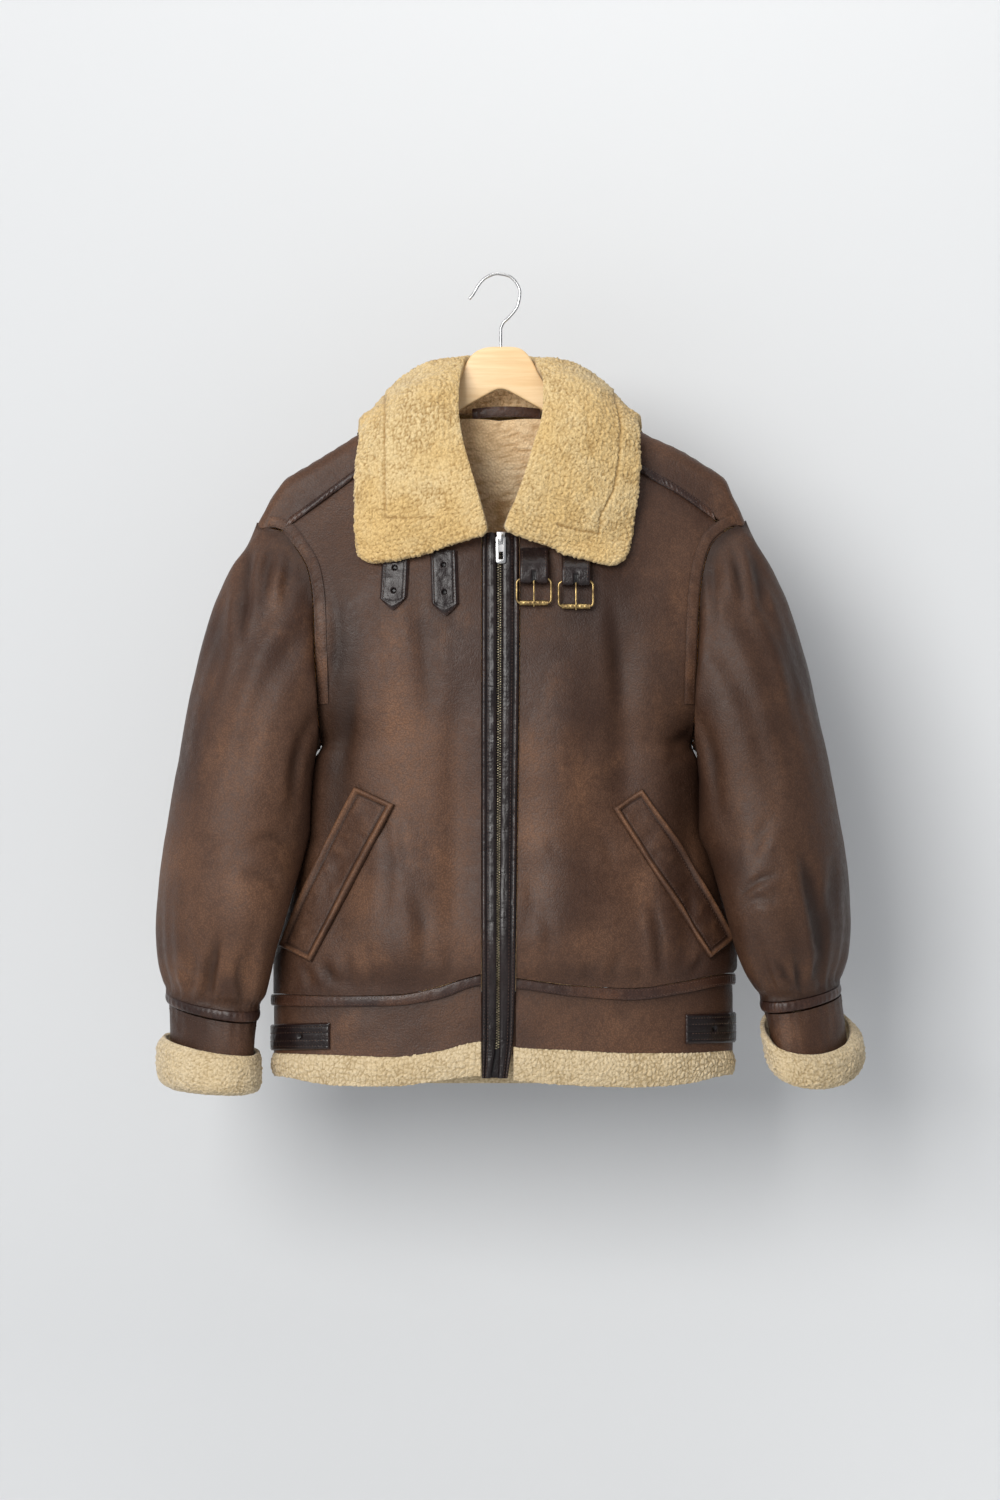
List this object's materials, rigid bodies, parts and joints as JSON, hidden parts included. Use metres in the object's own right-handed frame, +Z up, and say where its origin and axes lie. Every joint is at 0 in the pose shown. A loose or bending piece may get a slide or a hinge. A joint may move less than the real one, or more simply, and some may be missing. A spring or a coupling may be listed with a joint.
{
  "type": "shearling coat on a wooden hanger",
  "caption": "Brown leather shearling coat with a cream fleece collar, cuffs and hem, zipped up and hanging on a wooden hanger.",
  "frame": {"origin": "inside top of the hanger's hook, where a rail or peg carries it", "axes": "+Z up, -Y towards the front of the coat, +X to the right as seen from the front"},
  "size_m": [0.7658, 0.2075, 0.8654],
  "materials": {
    "leather": "satin",
    "trim": "glossy",
    "fleece": "matte",
    "lining": "matte",
    "wood": "satin",
    "steel": "satin",
    "brass": "satin"
  },
  "bodies": {
    "root": {"front_left": "leather", "front_right": "leather", "back": "leather", "sleeve_left": "leather", "sleeve_right": "leather", "cuff_band_left": "leather", "cuff_band_right": "leather", "waistband_left": "leather", "waistband_right": "leather", "waistband_back": "leather", "pocket_left": "leather", "pocket_right": "leather", "cuff_welt_left": "trim", "cuff_welt_right": "trim", "waist_welt_left": "trim", "waist_welt_right": "trim", "waist_welt_back": "trim", "shoulder_welt_left": "trim", "shoulder_welt_right": "trim", "armhole_welt_front_left": "trim", "armhole_welt_front_right": "trim", "armhole_welt_back_left": "trim", "armhole_welt_back_right": "trim", "placket_left": "trim", "placket_right": "trim", "side_tab_left": "trim", "side_tab_right": "trim", "zip_tape": "trim", "strap_pointed_outer": "trim", "strap_pointed_inner": "trim", "strap_buckled_inner": "trim", "strap_buckled_outer": "trim", "hanging_loop": "trim", "cuff_fleece_left": "fleece", "cuff_fleece_right": "fleece", "hem_fleece_left": "fleece", "hem_fleece_right": "fleece", "hem_fleece_back": "fleece", "collar_left": "fleece", "collar_right": "fleece", "collar_back": "fleece", "collar_stand": "lining", "hanger_wood": "wood", "hanger_hook": "steel", "zip_slider": "steel"},
    "zip_pull": {"zip_pull": "steel"},
    "buckle_frame_inner": {"buckle_frame_inner": "brass"},
    "buckle_prong_inner": {"buckle_prong_inner": "brass"},
    "buckle_roller_inner": {"buckle_roller_inner": "brass"},
    "buckle_frame_outer": {"buckle_frame_outer": "brass"},
    "buckle_prong_outer": {"buckle_prong_outer": "brass"},
    "buckle_roller_outer": {"buckle_roller_outer": "brass"}
  },
  "joints": [
    {"name": "zip_pull_swing", "type": "hinge", "parent": "root", "child": "zip_pull", "pos_m": [0.00098, -0.07203, -0.28073], "axis": [1, 0, 0], "range_deg": [-90, 0]},
    {"name": "frame_inner_swing", "type": "hinge", "parent": "root", "child": "buckle_frame_inner", "pos_m": [0.03485, -0.07594, -0.32328], "axis": [1, 0, 0], "range_deg": [-60, 0]},
    {"name": "prong_inner_swing", "type": "hinge", "parent": "buckle_frame_inner", "child": "buckle_prong_inner", "pos_m": [0.03485, -0.07594, -0.32328], "axis": [1, 0, 0], "range_deg": [-30, 0]},
    {"name": "roller_inner_spin", "type": "hinge", "parent": "buckle_frame_inner", "child": "buckle_roller_inner", "pos_m": [0.03485, -0.07594, -0.34768], "axis": [1, 0, 0], "continuous": true},
    {"name": "frame_outer_swing", "type": "hinge", "parent": "root", "child": "buckle_frame_outer", "pos_m": [0.07806, -0.07523, -0.3257], "axis": [1, 0, 0], "range_deg": [-60, 0]},
    {"name": "prong_outer_swing", "type": "hinge", "parent": "buckle_frame_outer", "child": "buckle_prong_outer", "pos_m": [0.07806, -0.07523, -0.3257], "axis": [1, 0, 0], "range_deg": [-30, 0]},
    {"name": "roller_outer_spin", "type": "hinge", "parent": "buckle_frame_outer", "child": "buckle_roller_outer", "pos_m": [0.07806, -0.07523, -0.3511], "axis": [1, 0, 0], "continuous": true}
  ]
}
